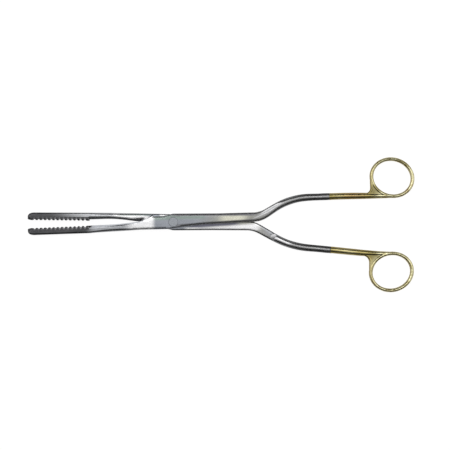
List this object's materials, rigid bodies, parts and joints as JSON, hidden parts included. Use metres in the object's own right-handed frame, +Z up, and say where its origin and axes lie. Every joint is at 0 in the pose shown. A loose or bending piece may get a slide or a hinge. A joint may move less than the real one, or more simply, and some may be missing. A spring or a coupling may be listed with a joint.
{
  "type": "obstetric forceps",
  "caption": "Long ring-handled steel forceps with a screwed lap joint, toothed straight jaws and gold plated finger rings, lying flat and slightly open.",
  "frame": {"origin": "where the pivot axis meets the plane that the instrument lies on", "axes": "+X runs from the jaws to the finger rings, +Y to the front half's handle, +Z up out of the resting plane, along the pivot"},
  "size_m": [0.2795, 0.0976, 0.0076],
  "materials": {
    "forged_steel": "polished stainless steel",
    "jaw_insert": "dark satin hard metal",
    "gold_plate": "polished gold plating",
    "screw_steel": "satin stainless steel"
  },
  "bodies": {
    "rear_half": {"rear_arm": "forged_steel", "rear_jaw_insert": "jaw_insert", "rear_ring_handle": "gold_plate", "pivot_screw": "screw_steel"},
    "front_half": {"front_arm": "forged_steel", "front_jaw_insert": "jaw_insert", "front_ring_handle": "gold_plate"}
  },
  "joints": [
    {"name": "pivot", "type": "hinge", "parent": "rear_half", "child": "front_half", "pos_m": [0, 0, 0.0038], "axis": [0, 0, 1], "range_deg": [-3.2, 25]}
  ]
}
